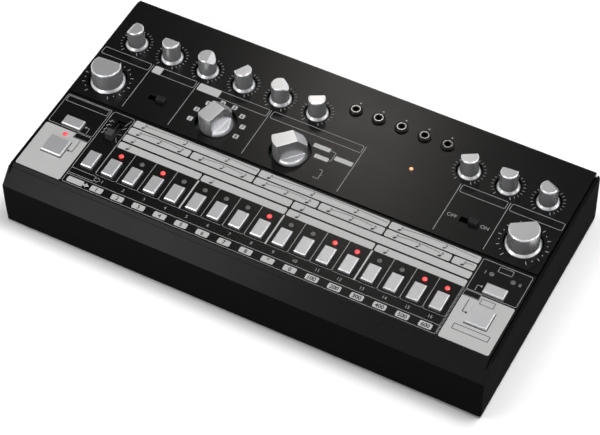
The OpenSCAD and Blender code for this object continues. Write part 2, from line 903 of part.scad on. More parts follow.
module knob(k) {
    h = knob_rise + knob_sink;
    r = k[3] ? large_r : small_r;
    skirt = k[3] ? large_skirt_r : small_skirt_r;
    foot = r + 0.35;
    shoulder = knob_sink + 0.6;
    color(KNOB)
        translate([col_x(k[1]), k[2], z_ctl - knob_sink])
            rotate([0, 0, k[4]]) {
                difference() {
                    rotate_extrude($fn = 96)
                        polygon([
                            [0, 0], [skirt, 0], [skirt, shoulder - 1.3], [foot, shoulder],
                            [r, h - 0.6], [r - 0.6, h], [0, h]
                        ]);
                    facet(k[3] ? r - 4.35 : r - 3.3, 50);
                    bore(shaft_r + seat_gap, -cut, shaft_in_knob);
                }
                shaft();
            }
}

module selector(s) {
    h = knob_rise + knob_sink;
    base = 0.4;
    ledge = 2.6;
    color(KNOB)
        translate([col_x(s[1]), dial_row, z_ctl - knob_sink])
            rotate([0, 0, s[2]]) {
                difference() {
                    union() {
                        rotate_extrude($fn = 96)
                            polygon([
                                [0, 0], [selector_r, 0], [selector_r, base],
                                [selector_r - 1.3, ledge], [0, ledge]
                            ]);
                        intersection() {
                            bore(selector_r, 0, h);
                            linear_extrude(h)
                                polygon([
                                    [-selector_r - 1, bar_half + 0.25], [selector_r + 1, bar_half - 0.45],
                                    [selector_r + 1, 0.45 - bar_half], [-selector_r - 1, -bar_half - 0.25]
                                ]);
                        }
                    }
                    facet(3.5, 47);
                    bore(shaft_r + seat_gap, -cut, shaft_in_knob);
                }
                shaft();
            }
}

// Outline of a cap with chamfered top edges
function cap_outline(half, z0, z1, edge) = [
    [-half, z0], [half, z0], [half, z1 - edge], [half - edge, z1], [edge - half, z1], [-half, z1 - edge]
];

module cap(w, l, z0, z1, edge)
    intersection() {
        along_x(w)
            polygon(cap_outline(l / 2, z0, z1, edge));
        along_y(-l / 2, l)
            polygon(cap_outline(w / 2, z0, z1, edge));
    }

module key(k)
    color(KEY)
        at([k[1]]) {
            cap(k[2], k[3], key_seat - flange_t, z_key + key_rise, 0.5);
            block([k[2] + 2 * flange_out, k[3] + 2 * flange_out, flange_t], key_seat - flange_t);
            bore(stem_r, board_top + stem_foot, key_seat - flange_t + 0.1);
        }

// A slider with a foot in the switch and a ribbed cap above it
module slider(size, foot, top, ribs)
    difference() {
        union() {
            block([foot[0], foot[1], top - board_top - slide_foot - 1], board_top + slide_foot);
            cap(size[0], size[1], board_top + slide_body[2] + 0.3, top, 0.3);
        }
        if (ribs)
            for (x = [-1.5 : 1 : 1.5])
                translate([x, 0, 0])
                    block([0.4, far, 1.4], top - 0.7);
    }

module two_way_slider(s)
    color(DARK)
        translate([s[1] + slider_travel / 2, switch_row, 0])
            slider(
                [slider_l, slider_w],
                [slider_l - 2 * slide_gap, slider_w - 2 * slide_gap],
                z_ctl + s[2], true
            );

module scale_switch()
    color(GREY)
        translate([scale_x, scale_rest, 0])
            slider(
                [scale_w, scale_l],
                [scale_w - 0.7 - 2 * slide_gap, scale_l - 2 * slide_gap],
                z_key + scale_rise, false
            );

module power_button()
    color(DARK)
        translate([power_x, 0, rear_top + power_body[2] / 2]) {
            rod_y(power_stem_r, socket_face - power_cap_l - 5, socket_face - power_cap_l + power_travel + 0.5);
            rod_y(power_cap_r, socket_face - power_cap_l + power_travel + 0.3, y_back - 0.1);
        }

case_shell();
control_panel();
key_panel();
bottom_cover();
rubber_feet();
screws();
panel_board();
key_switches();
potentiometers();
rotary_switches();
slide_switch_bodies();
top_sockets();
socket_nuts();
step_lamps();
status_lamps();
rear_board();
rear_sockets();
five_pin_sockets();
usb_socket();
power_inlet();
power_switch_body();
ribbon_cable();
for (k = KEYS)
    key(k);
for (k = KNOBS)
    knob(k);
for (s = SELECTORS)
    selector(s);
for (s = SWITCHES)
    two_way_slider(s);
scale_switch();
power_button();
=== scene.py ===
# %% [markdown]
# # A tabletop drum machine
# The machine is a flat black desk case with a low key panel in front and a control panel
# that stands about a millimetre higher behind it. The CAD model carries every solid that
# moves or holds something. This lesson adds what the shop adds afterwards: the studio, the
# finishes, the printed ink on the two panels, the lenses of the lamps and the bright rims
# of the sockets.
#
# Lengths on the machine are in millimetres and turned into metres by `MM`. The floor, the
# cloth above it and the sides of the lights are large, so they are in metres.

# %% Imports and frame
import math
import bmesh
import bpy
from mathutils import Matrix, Vector
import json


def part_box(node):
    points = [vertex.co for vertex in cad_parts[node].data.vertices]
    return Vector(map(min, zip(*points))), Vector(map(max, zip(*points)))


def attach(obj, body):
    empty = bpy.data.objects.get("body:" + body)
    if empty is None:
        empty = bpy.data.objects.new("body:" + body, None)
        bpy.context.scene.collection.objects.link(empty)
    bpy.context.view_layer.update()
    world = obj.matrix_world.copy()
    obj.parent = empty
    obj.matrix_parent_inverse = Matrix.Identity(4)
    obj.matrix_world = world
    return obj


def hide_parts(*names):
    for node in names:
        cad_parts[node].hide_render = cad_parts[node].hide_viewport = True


MM = 0.001
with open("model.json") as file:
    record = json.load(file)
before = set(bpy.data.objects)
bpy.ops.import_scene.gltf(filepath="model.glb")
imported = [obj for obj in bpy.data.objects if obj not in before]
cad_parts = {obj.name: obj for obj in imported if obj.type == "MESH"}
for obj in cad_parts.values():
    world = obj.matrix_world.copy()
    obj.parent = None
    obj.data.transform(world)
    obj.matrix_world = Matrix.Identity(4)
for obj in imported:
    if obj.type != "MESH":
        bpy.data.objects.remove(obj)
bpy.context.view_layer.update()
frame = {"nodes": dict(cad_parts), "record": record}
nodes = frame["nodes"]

# %% [markdown]
# ## Levels and columns
# Everything that is printed or fitted sits on one of the two panels. Their heights could be
# typed in, but here they are read from the CAD boxes, so the print follows the part when
# its height changes. The keys and the knobs stand in evenly spaced columns, so two small
# functions give the middle of each.

# %% Levels and columns
Z_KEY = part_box("key_panel")[1].z / MM
Z_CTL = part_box("control_panel")[1].z / MM
KEYS, KEY_PITCH, KEYS_MIDDLE = 16, 13.82, 6.64
COLUMNS, COLUMN_PITCH = 12, 24.39


def key_x(i):
    """Centre of step key i, counted from 1; 0 is the function key."""
    return KEYS_MIDDLE + (i - (KEYS + 1) / 2) * KEY_PITCH


def col_x(k):
    """Centre of knob column k, counted from 0."""
    return (k - (COLUMNS - 1) / 2) * COLUMN_PITCH


print("levels:", round(Z_KEY, 2), round(Z_CTL, 2))
print("first and last key:", round(key_x(1), 2), round(key_x(KEYS), 2))

# %% [markdown]
# ## Camera
# A long lens, a good metre away, looks down on the machine from its right front, as in a
# catalogue. Such a lens keeps far and near keys almost the same size. A camera could be
# aimed by a tracking constraint. Here its three axes are set directly, because they were
# solved from the straight edges of the case and the evenly spaced rows.

# %% Camera
CAMERA_AT = Vector((400.756, -705.008, 1011.60))
CAMERA_RIGHT = Vector((0.88227049, 0.47022094, -0.02215964))
CAMERA_DOWN = Vector((0.35467133, -0.69494374, -0.62550895))
CAMERA_FORWARD = Vector((-0.30952711, 0.5440087, -0.77990224))
SENSOR_WIDTH = 36
FOCAL_PIXELS, PIXELS_WIDE = 2223.97, 600

camera_data = bpy.data.cameras.new("camera")
camera = bpy.data.objects.new("camera", camera_data)
bpy.context.scene.collection.objects.link(camera)
pose = Matrix((CAMERA_RIGHT, -CAMERA_DOWN, -CAMERA_FORWARD)).transposed().to_4x4()
pose.translation = CAMERA_AT * MM
camera.matrix_world = pose
camera_data.sensor_width = SENSOR_WIDTH
camera_data.lens = SENSOR_WIDTH * FOCAL_PIXELS / PIXELS_WIDE
camera_data.clip_start = 0.05
camera_data.clip_end = 20
bpy.context.scene.camera = camera
print("lens, mm:", round(camera_data.lens, 1))

# %% [markdown]
# ## A material with plain numbers
# Every finish starts from the Principled shader that Blender puts into a new material. A
# number that is the same all over could come from a value node, but it is easier to find
# on the shader's own socket, so this helper sets the sockets by name.

# %% Material helper


def material(name, colour, roughness, **sockets):
    """A material whose plain numbers sit on the shader's own sockets."""
    mat = bpy.data.materials.new(name)
    mat.use_nodes = True
    shader = mat.node_tree.nodes["Principled BSDF"]
    shader.inputs["Base Color"].default_value = (*colour, 1)
    shader.inputs["Roughness"].default_value = roughness
    for socket, value in sockets.items():
        shader.inputs[socket.replace("_", " ")].default_value = value
    return mat, mat.node_tree, shader


# %% [markdown]
# ## Noise for grain and gloss
# No paint or moulding is quite even. Its grain could come from a picture, but that has to be
# unwrapped onto every piece. A noise on object coordinates needs no unwrapping and keeps to
# its piece when that moves.

# %% Noise helpers
NOISE_LOW, NOISE_HIGH = 0.3, 0.7    # nearly all of a noise lies between these
NOISE_DETAIL = 3


def noise(tree, scale, roughness=0.5):
    """A noise that keeps to the object; a larger scale is finer."""
    coords = tree.nodes.new("ShaderNodeTexCoord")
    tex = tree.nodes.new("ShaderNodeTexNoise")
    tex.inputs["Scale"].default_value = scale
    tex.inputs["Detail"].default_value = NOISE_DETAIL
    tex.inputs["Roughness"].default_value = roughness
    tree.links.new(coords.outputs["Object"], tex.inputs["Vector"])
    return tex.outputs["Fac"]


def spread(tree, value, low, high):
    """Maps the usual range of a noise to low to high."""
    node = tree.nodes.new("ShaderNodeMapRange")
    node.inputs["From Min"].default_value = NOISE_LOW
    node.inputs["From Max"].default_value = NOISE_HIGH
    node.inputs["To Min"].default_value = low
    node.inputs["To Max"].default_value = high
    tree.links.new(value, node.inputs["Value"])
    return node.outputs["Result"]


# %% [markdown]
# ## Soft edges
# No moulded or folded edge is sharp. Rounding each one in the mesh would change the part
# and cost very many faces. The Bevel node only bends the normal along each edge, so that
# the edge catches the light, and the bump of the grain lies on top of that.

# %% Edge and grain helpers
GLOSS_SCALE = 60                    # uneven gloss in patches of about 17 mm
GRAIN_ROUGHNESS = 0.6
BEVEL_SAMPLES = 4


def surface(tree, shader, height, distance, edge):
    """Bump from a height, over a normal that rounds the edges by edge millimetres."""
    bevel = tree.nodes.new("ShaderNodeBevel")
    bevel.samples = BEVEL_SAMPLES
    bevel.inputs["Radius"].default_value = edge * MM
    bump = tree.nodes.new("ShaderNodeBump")
    bump.inputs["Strength"].default_value = 1.0
    bump.inputs["Distance"].default_value = distance * MM
    tree.links.new(height, bump.inputs["Height"])
    tree.links.new(bevel.outputs["Normal"], bump.inputs["Normal"])
    tree.links.new(bump.outputs["Normal"], shader.inputs["Normal"])


def moulded(name, colour, roughness, grain=1800, depth=0.01, edge=0.25, vary=0.06, **sockets):
    """Plastic, paint or metal with a fine grain and a slightly uneven gloss."""
    mat, tree, shader = material(name, colour, roughness, **sockets)
    gloss = spread(tree, noise(tree, GLOSS_SCALE), roughness - vary, roughness + vary)
    tree.links.new(gloss, shader.inputs["Roughness"])
    surface(tree, shader, noise(tree, grain, GRAIN_ROUGHNESS), depth, edge)
    return mat


# %% [markdown]
# ## Case and panels
# The case is matt black with a satin front edge, and the two panels are smoother, so a
# light can draw a sheen across them. One black for all of them would be simpler, but then
# the panels wouldn't part from the case. The blacks differ mostly in how much they mirror.

# %% Case and panels
CASE = moulded("case_black", (0.0090, 0.0090, 0.0090), 0.55, depth=0.012, edge=0.35,
               vary=0.02, Specular_IOR_Level=0.003)
BEVEL = moulded("case_satin", (0.0065, 0.0065, 0.0065), 0.28, depth=0.006, edge=0.35,
                vary=0.015, Specular_IOR_Level=0.085)
PANEL = moulded("panel_black", (0.0034, 0.0034, 0.0034), 0.24, grain=2400, depth=0.003,
                edge=0.15, vary=0.01, Specular_IOR_Level=0.32)
COVER = moulded("cover_black", (0.010, 0.010, 0.011), 0.5, grain=900, depth=0.03, vary=0.03)
print("blacks:", [mat.name for mat in (CASE, BEVEL, PANEL, COVER)])

# %% [markdown]
# ## Knobs, keys and sliders
# The knobs and keys are plastic with a silver paint. Paint of that kind lies between
# plastic and metal: its flakes mirror like metal, and the binder around them stays pale and
# dull. A mix of two shaders could say that, but a Metallic value below one is enough here.
# The caps of the slide switches are plain plastic.

# %% Knobs, keys and sliders
KNOB = moulded("knob_grey", (0.70, 0.705, 0.72), 0.25, depth=0.0015, edge=0.5, vary=0.006,
               Metallic=0.72)
KEY = moulded("key_grey", (0.62, 0.625, 0.64), 0.28, depth=0.0015, edge=0.4, vary=0.006,
              Metallic=0.62)
SLIDER = moulded("slider_black", (0.020, 0.020, 0.021), 0.35, edge=0.15, vary=0.02,
                 Specular_IOR_Level=0.15)
SLIDER_GREY = moulded("slider_grey", (0.05, 0.051, 0.053), 0.4, edge=0.2, vary=0.02,
                      Specular_IOR_Level=0.15)
print("finishes that are touched:", [mat.name for mat in (KNOB, KEY, SLIDER, SLIDER_GREY)])

# %% [markdown]
# ## Sockets, screws and what lies inside
# Nickel, steel, black nuts, rubber feet, green boards and the grey ribbon cable. Most of
# them show only from behind, from below or with the case open, so each gets the plain
# finish of its stuff and no more.

# %% Small parts
SOCKET = moulded("socket_black", (0.009, 0.009, 0.01), 0.3, edge=0.2, vary=0.02)
SWITCH = moulded("switch_black", (0.010, 0.010, 0.011), 0.45, vary=0.02)
NICKEL = moulded("nut_nickel", (0.55, 0.54, 0.52), 0.22, depth=0.002, edge=0.15, vary=0.02,
                 Metallic=1.0)
RIM = moulded("rim_nickel", (0.4, 0.39, 0.37), 0.2, depth=0.002, edge=0.12, vary=0.02,
              Metallic=1.0)
NUT = moulded("nut_black", (0.003, 0.003, 0.003), 0.35, depth=0.002, edge=0.25, vary=0.02,
              Specular_IOR_Level=0.2)
STEEL = moulded("screw_steel", (0.5, 0.5, 0.51), 0.35, depth=0.004, edge=0.1, Metallic=1.0)
BOARD = moulded("board_green", (0.006, 0.032, 0.013), 0.3, grain=500, depth=0.004)
RUBBER = moulded("foot_rubber", (0.006, 0.006, 0.006), 0.8, grain=1200, depth=0.02)
CABLE = moulded("cable_grey", (0.35, 0.355, 0.36), 0.5)
print("small parts:", [mat.name for mat in (SOCKET, SWITCH, NICKEL, RIM, NUT, STEEL, BOARD,
                                            RUBBER, CABLE)])

# %% [markdown]
# ## Handing out the finishes
# The part's record names a material slot for every piece, so a table from slot to finish
# reaches all of them in one loop. Painting each piece by hand would miss the next one that
# is added. Two things differ from the table: the nuts on the panel are black, and the front
# edge of the case is satin. That edge is found by where its faces point.

# %% Finishes on the part
FINISH = {
    "case_black": CASE, "panel_black": PANEL, "cover_black": COVER, "knob_grey": KNOB,
    "key_grey": KEY, "slider_black": SLIDER, "slider_grey": SLIDER_GREY, "socket_black": SOCKET,
    "switch_black": SWITCH, "nut_nickel": NICKEL, "screw_steel": STEEL, "board_green": BOARD,
    "foot_rubber": RUBBER, "cable_grey": CABLE,
}
for part in frame["record"]["subparts"]:
    if part["material_slot"] in FINISH:
        mesh = nodes[part["node"]].data
        mesh.materials.clear()
        mesh.materials.append(FINISH[part["material_slot"]])
nodes["socket_nuts"].data.materials[0] = NUT
for name in ("case_shell", "key_panel"):
    front = nodes[name].data
    front.materials.append(BEVEL)
    for face in front.polygons:
        if face.normal.y < -0.5 and face.normal.z > 0.5:      # points forwards and up
            face.material_index = 1
print("finishes:", len(FINISH))

# %% [markdown]
# ## Floor
# The machine stands on a pale sweep, as in a catalogue. A bent sheet with a wall would do,
# but its wall shows in low views. This floor is flat and shines more the farther it is from
# the machine, until it is white at the horizon, so nothing marks where it ends. Only rays
# that show it see that white. To all other light it is a mid grey, so it doesn't flood the
# sides of the case.

# %% Floor
FLOOR_HALF = 6


def add_object(name, bm):
    """Turns a bmesh into an object of the scene and frees it."""
    mesh = bpy.data.meshes.new(name)
    bm.to_mesh(mesh)
    bm.free()
    made = bpy.data.objects.new(name, mesh)
    bpy.context.scene.collection.objects.link(made)
    return made


bm = bmesh.new()
bmesh.ops.create_grid(bm, x_segments=1, y_segments=1, size=FLOOR_HALF)
floor = add_object("floor", bm)
print("floor, m:", 2 * FLOOR_HALF, "wide")

# %% [markdown]
# ## Rays that show something
# The Light Path node tells a shader what kind of ray has met it. Rays from the camera, from
# a mirror and through glass show what they meet, and all others only carry light. This
# helper is 1 for the first kinds. The floor and the background both need it.

# %% Rays that show something


def seen_rays(tree):
    """1 for rays that show what they meet: camera, glossy and transmission rays."""
    rays = tree.nodes.new("ShaderNodeLightPath")
    sums = [tree.nodes.new("ShaderNodeMath") for _ in range(2)]
    for node in sums:
        node.operation = "MAXIMUM"
    tree.links.new(rays.outputs["Is Camera Ray"], sums[0].inputs[0])
    tree.links.new(rays.outputs["Is Glossy Ray"], sums[0].inputs[1])
    tree.links.new(rays.outputs["Is Transmission Ray"], sums[1].inputs[0])
    tree.links.new(sums[0].outputs["Value"], sums[1].inputs[1])
    return sums[1].outputs["Value"]


# %% [markdown]
# ## Floor material
# The distance from the middle drives the strength of an emission, which is added to a white
# diffuse surface. A mix by kind of ray picks that sum or the grey.

# %% Floor material
RISE_FROM, RISE_TO = 0.5, 1.7          # metres from the middle
SHINE_NEAR, SHINE_FAR = 0.03, 1.0
sweep, tree, shader = material("floor", (0.45, 0.45, 0.45), 0.9, Specular_IOR_Level=0.0)
white = tree.nodes.new("ShaderNodeBsdfDiffuse")
white.inputs["Color"].default_value = (1, 1, 1, 1)
where = tree.nodes.new("ShaderNodeTexCoord")
away = tree.nodes.new("ShaderNodeVectorMath")
away.operation = "LENGTH"
tree.links.new(where.outputs["Object"], away.inputs[0])
rise = tree.nodes.new("ShaderNodeMapRange")
rise.inputs["From Min"].default_value = RISE_FROM
rise.inputs["From Max"].default_value = RISE_TO
rise.inputs["To Min"].default_value = SHINE_NEAR
rise.inputs["To Max"].default_value = SHINE_FAR
tree.links.new(away.outputs["Value"], rise.inputs["Value"])
lift = tree.nodes.new("ShaderNodeEmission")
tree.links.new(rise.outputs["Result"], lift.inputs["Strength"])
both = tree.nodes.new("ShaderNodeAddShader")
tree.links.new(white.outputs["BSDF"], both.inputs[0])
tree.links.new(lift.outputs["Emission"], both.inputs[1])
pick = tree.nodes.new("ShaderNodeMixShader")
tree.links.new(seen_rays(tree), pick.inputs["Fac"])
tree.links.new(shader.outputs["BSDF"], pick.inputs[1])
tree.links.new(both.outputs["Shader"], pick.inputs[2])
tree.links.new(pick.outputs["Shader"], tree.nodes["Material Output"].inputs["Surface"])
floor.data.materials.append(sweep)
print("floor shader:", len(tree.nodes), "nodes")

# %% [markdown]
# ## Dark cloth overhead
# The background is white, and silver knobs mirror whatever hangs above them. A dark cloth
# far overhead, which studios call a flag, gives them and the panels something dark to
# mirror. Darker paint would do that too, but it would also dull their bright flanks.

# %% Ceiling flag
CLOTH_HALF = 3.0
CLOTH_AT = (0, 0.6, 2.6)
bm = bmesh.new()
bmesh.ops.create_grid(bm, x_segments=1, y_segments=1, size=CLOTH_HALF,
                      matrix=Matrix.Translation(CLOTH_AT))
flag = add_object("ceiling_flag", bm)
cloth = material("flag_cloth", (0.05, 0.05, 0.05), 0.9, Specular_IOR_Level=0.0)[0]
flag.data.materials.append(cloth)
print("flag, m:", CLOTH_AT[2], "above the floor")

# %% [markdown]
# ## Lights
# A weak, narrow key light hangs where the panel mirrors it towards the lens, which gives
# the faint sheen across the control panel. A broad light to the right lifts the keys and
# the print, an overhead one draws the bright line around every knob, and three low ones
# fill the front and the sides. A picture of a studio on the world could do all of this at
# once, but separate lights can be moved and dimmed one at a time.

# %% Lights


def area_light(name, place, target, size, power, colour=(1, 1, 1)):
    """A rectangle that shines from place towards target."""
    data = bpy.data.lights.new(name, "AREA")
    data.shape = "RECTANGLE"
    data.size, data.size_y = size
    data.energy = power
    data.color = colour
    lamp = bpy.data.objects.new(name, data)
    bpy.context.scene.collection.objects.link(lamp)
    lamp.location = Vector(place) * MM
    aim = (Vector(target) - Vector(place)).normalized()
    lamp.rotation_euler = aim.to_track_quat("-Z", "Y").to_euler()


# Each row: name, place in mm, target in mm, sides in m, watts and, if not white, colour.
LIGHTS = [
    ("key_light", (-450, 962, 1190), (-450, 80, 42), (0.14, 0.22), 0.63, (1.0, 0.96, 0.91)),
    ("top_light", (480, 470, 2100), (0, 0, 30), (0.9, 0.9), 38),
    ("overhead", (-330, -120, 1500), (0, 0, 40), (0.5, 0.5), 4.6),
    ("front_left", (-235, -410, 270), (-60, 0, 45), (0.2, 0.2), 0.6),
    ("front_fill", (-300, -1500, 350), (0, 0, 30), (1.2, 0.4), 2.7),
    ("right_side", (1400, 600, 500), (0, 0, 40), (0.6, 0.5), 1.5),
]
for row in LIGHTS:
    area_light(*row)
print("lights:", len(bpy.data.lights))

# %% [markdown]
# ## Background
# The background is plain white where it is seen or mirrored, but a white world would also
# light everything from all sides and wash out the blacks. So rays that show it get the
# white, and the rest of the light gets a faint one. The Standard view transform shows that
# white as white.

# %% Background
AMBIENT = 0.12
world = bpy.data.worlds.new("world")
world.use_nodes = True
bpy.context.scene.world = world
tree = world.node_tree
shown = tree.nodes["Background"]
shown.inputs["Color"].default_value = (1, 1, 1, 1)
shown.inputs["Strength"].default_value = 1.0
light = tree.nodes.new("ShaderNodeBackground")
light.inputs["Color"].default_value = (1, 1, 1, 1)
light.inputs["Strength"].default_value = AMBIENT
mix = tree.nodes.new("ShaderNodeMixShader")
tree.links.new(seen_rays(tree), mix.inputs["Fac"])
tree.links.new(light.outputs["Background"], mix.inputs[1])
tree.links.new(shown.outputs["Background"], mix.inputs[2])
tree.links.new(mix.outputs["Shader"], tree.nodes["World Output"].inputs["Surface"])
bpy.context.scene.view_settings.view_transform = "Standard"
print("ambient light:", AMBIENT)

# %% [markdown]
# ## Printing on the panels
# The white and grey graphics are screen printed: a film of ink a few hundredths of a
# millimetre thick. A texture could carry them, but then every line would need its own
# drawing. Here each shape starts as a bmesh grid or circle that is moved to its place,
# and the finished sheet is extruded up from the panel, so it is a real film.

# %% Ink and film
FILM = 0.04           # thickness of a film in mm
OVER = 0.02           # black print that lies on another film
THICK = 0.05          # print that crosses a film and has to cover it
INK = moulded("ink_light", (0.412, 0.414, 0.41), 0.5, grain=900, depth=0.003, edge=0.01)
INK_LINE = moulded("ink_line", (0.27, 0.27, 0.27), 0.5, grain=900, depth=0.003, edge=0.01)
INK_DARK = moulded("ink_dark", (0.012, 0.012, 0.012), 0.45, grain=900, depth=0.003, edge=0.01)


def to_metres(bm):
    """Scales a drawing in millimetres to metres and turns its faces outwards."""
    bmesh.ops.scale(bm, verts=bm.verts[:], vec=(MM, MM, MM))
    bmesh.ops.recalc_face_normals(bm, faces=bm.faces[:])


def printed(bm, name, level, ink, thickness=FILM):
    """Thickens the flat drawing into a film on the panel and hands it to the case."""
    bmesh.ops.recalc_face_normals(bm, faces=bm.faces[:])
    flipped = [f for f in bm.faces if f.normal.z < 0]
    bmesh.ops.reverse_faces(bm, faces=flipped)
    top = bm.faces[:]
    made = bmesh.ops.extrude_face_region(bm, geom=top, use_keep_orig=True)["geom"]
    lifted = [v for v in made if isinstance(v, bmesh.types.BMVert)]
    bmesh.ops.translate(bm, verts=lifted, vec=(0, 0, thickness))
    bmesh.ops.reverse_faces(bm, faces=[f for f in top if f.is_valid])
    bmesh.ops.translate(bm, verts=bm.verts[:], vec=(0, 0, level))
    to_metres(bm)
    film = add_object(name, bm)
    film.data.materials.append(ink)
    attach(film, "case")
    print(name, len(film.data.polygons), "faces")


print("inks:", [mat.name for mat in (INK, INK_LINE, INK_DARK)])

# %% [markdown]
# ## Plates
# Most of the print is made of rounded rectangles. Such a plate could be drawn point by
# point around its corners. A grid of one face with its corners bevelled is shorter, and
# works for any length.

# %% Plates


def place(x, y, width, height, turn=0):
    """Matrix that puts a unit shape at x, y in millimetres."""
    return (Matrix.Translation((x, y, 0)) @ Matrix.Rotation(math.radians(turn), 4, "Z")
            @ Matrix.Diagonal((width, height, 1, 1)))


def plate(bm, x0, x1, y0, y1, radius):
    """A filled rectangle with rounded corners; returns its face."""
    before = set(bm.faces)
    at = place((x0 + x1) / 2, (y0 + y1) / 2, abs(x1 - x0), abs(y1 - y0))
    made = bmesh.ops.create_grid(bm, x_segments=1, y_segments=1, size=0.5, matrix=at)["verts"]
    bmesh.ops.bevel(bm, geom=made, offset=radius, segments=4, profile=0.5,
                    affect="VERTICES", material=-1)
    return max((f for f in bm.faces if f not in before), key=lambda f: f.calc_area())


# %% [markdown]
# ## Note bars
# Four rows of pale bars above the keys show how a bar of music divides for each setting
# of the four-way switch. They could be one sheet with lines cut out of it. Here every bar is
# a plate between two of the lines that part the keys, so the rows stay in step with them.

# %% Note bars
BAR_LEFT, BAR_RIGHT = -103.2, 117.9
BAR_HALF_GAP = 0.5
BAR_CORNER = 1.0
DIVIDER_LEFT, DIVIDER_PITCH = -103.82, 13.821
# Each row: top, bottom and the dividers at which its bars part.
BAR_ROWS = [(-6.8, -11.8, [6, 12]), (-12.7, -17.7, [3, 6, 9, 12, 15]), (-18.7, -23.7, [8]),
            (-24.9, -29.7, [4, 8, 12])]


def divider(k):
    """The line to the right of step key k; 0 is the line to the left of key 1."""
    return DIVIDER_LEFT + DIVIDER_PITCH * k


bm = bmesh.new()
for top, bottom, breaks in BAR_ROWS:
    ends = [BAR_LEFT - BAR_HALF_GAP] + [divider(k) for k in breaks] + [BAR_RIGHT + BAR_HALF_GAP]
    for a, b in zip(ends, ends[1:]):
        plate(bm, a + BAR_HALF_GAP, b - BAR_HALF_GAP, bottom, top, BAR_CORNER)
printed(bm, "note_bars", Z_KEY, INK)

# %% [markdown]
# ## Strokes and dots
# The other two shapes of the print are straight lines and ellipses. A line is a unit grid
# that is stretched, turned and moved by one matrix, which is quicker to write than its four
# corners. An ellipse is a circle under the same matrix.

# %% Strokes and dots


def stroke(bm, start, end, line):
    """A straight line between two points."""
    run = Vector(end) - Vector(start)
    mid = (Vector(start) + Vector(end)) / 2
    at = place(mid.x, mid.y, run.length, line, math.degrees(math.atan2(run.y, run.x)))
    bmesh.ops.create_grid(bm, x_segments=1, y_segments=1, size=0.5, matrix=at)


def dot(bm, x, y, width, height=None, turn=0, segments=20):
    """A filled ellipse; three segments make a triangle."""
    at = place(x, y, width, height or width, turn)
    bmesh.ops.create_circle(bm, cap_ends=True, segments=segments, radius=0.5, matrix=at)


# %% [markdown]
# ## Notes
# Small notes with dotted slurs are printed in black on the bars. A font with music signs
# could set them, but not every computer has one. A note is a tilted ellipse for its head, a
# stroke for its stem and, for short notes, a slanted flag. A slur is a row of dashes.

# %% Shapes of the notes
HEAD_WIDTH, HEAD_HEIGHT, HEAD_TILT = 2.1, 1.4, 25
STEM_X, STEM_TOP, STEM_LINE = 0.8, 3.0, 0.38
FLAG_START, FLAG_END, FLAG_LINE = (0.75, 2.9), (1.8, 1.6), 0.42
DASH_PITCH, DASH_LENGTH, DASH_WIDTH = 0.95, 0.66, 0.52    # length as a share of the pitch


def note(bm, x, y, flag, size=1.0):
    """A note with the middle of its head at x, y."""
    dot(bm, x, y, HEAD_WIDTH * size, HEAD_HEIGHT * size, HEAD_TILT)
    stroke(bm, (x + STEM_X * size, y), (x + STEM_X * size, y + STEM_TOP * size), STEM_LINE)
    if flag:
        start, end = [(x + dx * size, y + dy * size) for dx, dy in (FLAG_START, FLAG_END)]
        stroke(bm, start, end, FLAG_LINE)


def slur(bm, x0, x1, y, rise):
    """A dotted arc of short dashes along a parabola."""
    count = int((x1 - x0) / DASH_PITCH)
    for i in range(count):
        t = (i + 0.5) / count
        height = y + rise * 4 * t * (1 - t)
        tilt = math.degrees(math.atan(rise * 4 * (1 - 2 * t) / (x1 - x0)))
        at = place(x0 + t * (x1 - x0), height, DASH_PITCH * DASH_LENGTH, DASH_WIDTH, tilt)
        bmesh.ops.create_grid(bm, x_segments=1, y_segments=1, size=0.5, matrix=at)


print("a full note is", STEM_TOP, "mm high")

# %% [markdown]
# ## Notes on the bars
# The notes stand above the keys that they belong to, so their places come from the same
# function as the keys. In the first two rows slurs join them in groups, and the notes
# without a stress are a little smaller.

# %% Notes and slurs
NOTE_YS = (-10.4, -16.5, -22.6, -28.4)
SLUR_YS = (-8.7, -14.6)
SMALL_NOTE = 0.8
PAST_NOTE = 1.9          # a slur starts this far to the right of its note
TO_DIVIDER, TO_NOTE, TO_END = 1.5, 0.6, 1.2      # and ends this far before what follows
bm = bmesh.new()
for i in range(1, KEYS, 2):
    note(bm, key_x(i), NOTE_YS[0], True, 1.0 if i % 6 == 1 else SMALL_NOTE)
for first, last in ((1, 6), (7, 12), (13, 16)):
    slur(bm, key_x(first) + PAST_NOTE, divider(last) - TO_DIVIDER, SLUR_YS[0], rise=1.2)
for i in range(1, KEYS + 1):
    note(bm, key_x(i), NOTE_YS[1], True, SMALL_NOTE if i % 3 == 2 else 1.0)
for first in (1, 4, 7, 10, 13):
    slur(bm, key_x(first) + PAST_NOTE, key_x(first + 2) - TO_NOTE, SLUR_YS[1], rise=0.9)
slur(bm, key_x(KEYS) + PAST_NOTE, BAR_RIGHT - TO_END, SLUR_YS[1], rise=0.5)
for i in (1, 9):
    note(bm, key_x(i), NOTE_YS[2], False)
for i in (1, 5, 9, 13):
    note(bm, key_x(i), NOTE_YS[3], False)
printed(bm, "note_marks", Z_KEY + FILM, INK_DARK, OVER)

# %% [markdown]
# ## Outlines and paths
# Frames and bent lines could be curves with a width, but each would have to be turned into
# a mesh to join the film. A plate whose inside is inset and dropped leaves a frame of even
# width, and a path is a chain of strokes that overlap a little at each bend.

# %% Outlines and paths


def outline(bm, x0, x1, y0, y1, radius, line=0.3):
    """A rounded rectangle drawn as a line: the inside of a plate is inset and dropped."""
    face = plate(bm, x0, x1, y0, y1, radius)
    bmesh.ops.inset_region(bm, faces=[face], thickness=line, use_boundary=True,
                           use_even_offset=True)
    bmesh.ops.delete(bm, geom=[face], context="FACES")


